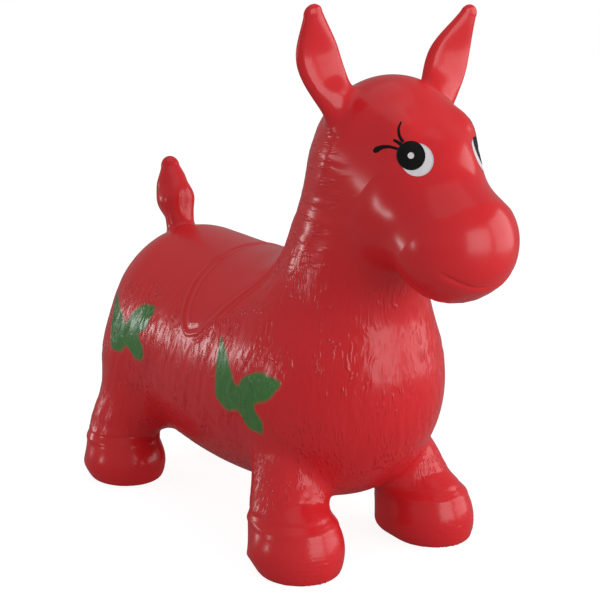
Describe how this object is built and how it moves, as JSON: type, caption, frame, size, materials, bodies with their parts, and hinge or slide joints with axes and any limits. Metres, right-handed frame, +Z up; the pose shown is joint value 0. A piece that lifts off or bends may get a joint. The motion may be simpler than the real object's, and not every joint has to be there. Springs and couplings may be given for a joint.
{
  "type": "bouncy horse hopper",
  "caption": "Air-filled horse-shaped hopper toy with stub legs, a moulded saddle, bending ears to hold, a bending tail and a belly valve with a stopper.",
  "frame": {"origin": "on the floor under the middle of the horse's length and width", "axes": "+X forward to the nose, +Y to the horse's left, +Z up"},
  "size_m": [0.5782, 0.251, 0.5229],
  "materials": {
    "red_vinyl": "soft glossy vinyl",
    "white_plastic": "satin",
    "white_paint": "printed paint",
    "black_paint": "printed paint",
    "green_paint": "sprayed paint"
  },
  "bodies": {
    "skin": {"torso_skin": "red_vinyl", "neck_skin": "red_vinyl", "head_skin": "red_vinyl", "muzzle_skin": "red_vinyl", "valve_seat": "red_vinyl", "left_eye_white": "white_paint", "right_eye_white": "white_paint", "left_eye_pupil": "black_paint", "right_eye_pupil": "black_paint", "left_eye_glint": "white_paint", "right_eye_glint": "white_paint", "left_eyelashes": "black_paint", "right_eyelashes": "black_paint", "left_shoulder_spot": "green_paint", "right_shoulder_spot": "green_paint", "left_flank_spot": "green_paint", "right_flank_spot": "green_paint"},
    "front_left_foot": {"front_left_leg": "red_vinyl", "front_left_hoof": "red_vinyl"},
    "front_right_foot": {"front_right_leg": "red_vinyl", "front_right_hoof": "red_vinyl"},
    "rear_left_foot": {"rear_left_leg": "red_vinyl", "rear_left_hoof": "red_vinyl"},
    "rear_right_foot": {"rear_right_leg": "red_vinyl", "rear_right_hoof": "red_vinyl"},
    "left_ear_blade": {"left_ear": "red_vinyl"},
    "right_ear_blade": {"right_ear": "red_vinyl"},
    "tail_tuft": {"tail": "red_vinyl"},
    "plug": {"valve_plug": "white_plastic"}
  },
  "joints": [
    {"name": "front_left_bounce", "type": "slide", "parent": "skin", "child": "front_left_foot", "axis": [0, 0, 1], "range_m": [0, 0.01], "stiffness_N_per_m": 4000, "deforming": ["front_left_leg"]},
    {"name": "front_right_bounce", "type": "slide", "parent": "skin", "child": "front_right_foot", "axis": [0, 0, 1], "range_m": [0, 0.01], "stiffness_N_per_m": 4000, "deforming": ["front_right_leg"]},
    {"name": "rear_left_bounce", "type": "slide", "parent": "skin", "child": "rear_left_foot", "axis": [0, 0, 1], "range_m": [0, 0.01], "stiffness_N_per_m": 4000, "deforming": ["rear_left_leg"]},
    {"name": "rear_right_bounce", "type": "slide", "parent": "skin", "child": "rear_right_foot", "axis": [0, 0, 1], "range_m": [0, 0.01], "stiffness_N_per_m": 4000, "deforming": ["rear_right_leg"]},
    {"name": "left_ear_bend", "type": "hinge", "parent": "skin", "child": "left_ear_blade", "pos_m": [0.14467, 0.053, 0.43], "axis": [0.1736, 0.9848, 0], "range_deg": [-20, 20], "stiffness_Nm_per_rad": 0.8},
    {"name": "right_ear_bend", "type": "hinge", "parent": "skin", "child": "right_ear_blade", "pos_m": [0.14467, -0.053, 0.43], "axis": [-0.1736, 0.9848, 0], "range_deg": [-20, 20], "stiffness_Nm_per_rad": 0.8},
    {"name": "tail_bend", "type": "hinge", "parent": "skin", "child": "tail_tuft", "pos_m": [-0.22433, 0, 0.266], "axis": [0, 1, 0], "range_deg": [-20, 20], "stiffness_Nm_per_rad": 0.8},
    {"name": "plug_pull", "type": "slide", "parent": "skin", "child": "plug", "axis": [0, 0, -1], "range_m": [0, 0.025]}
  ]
}
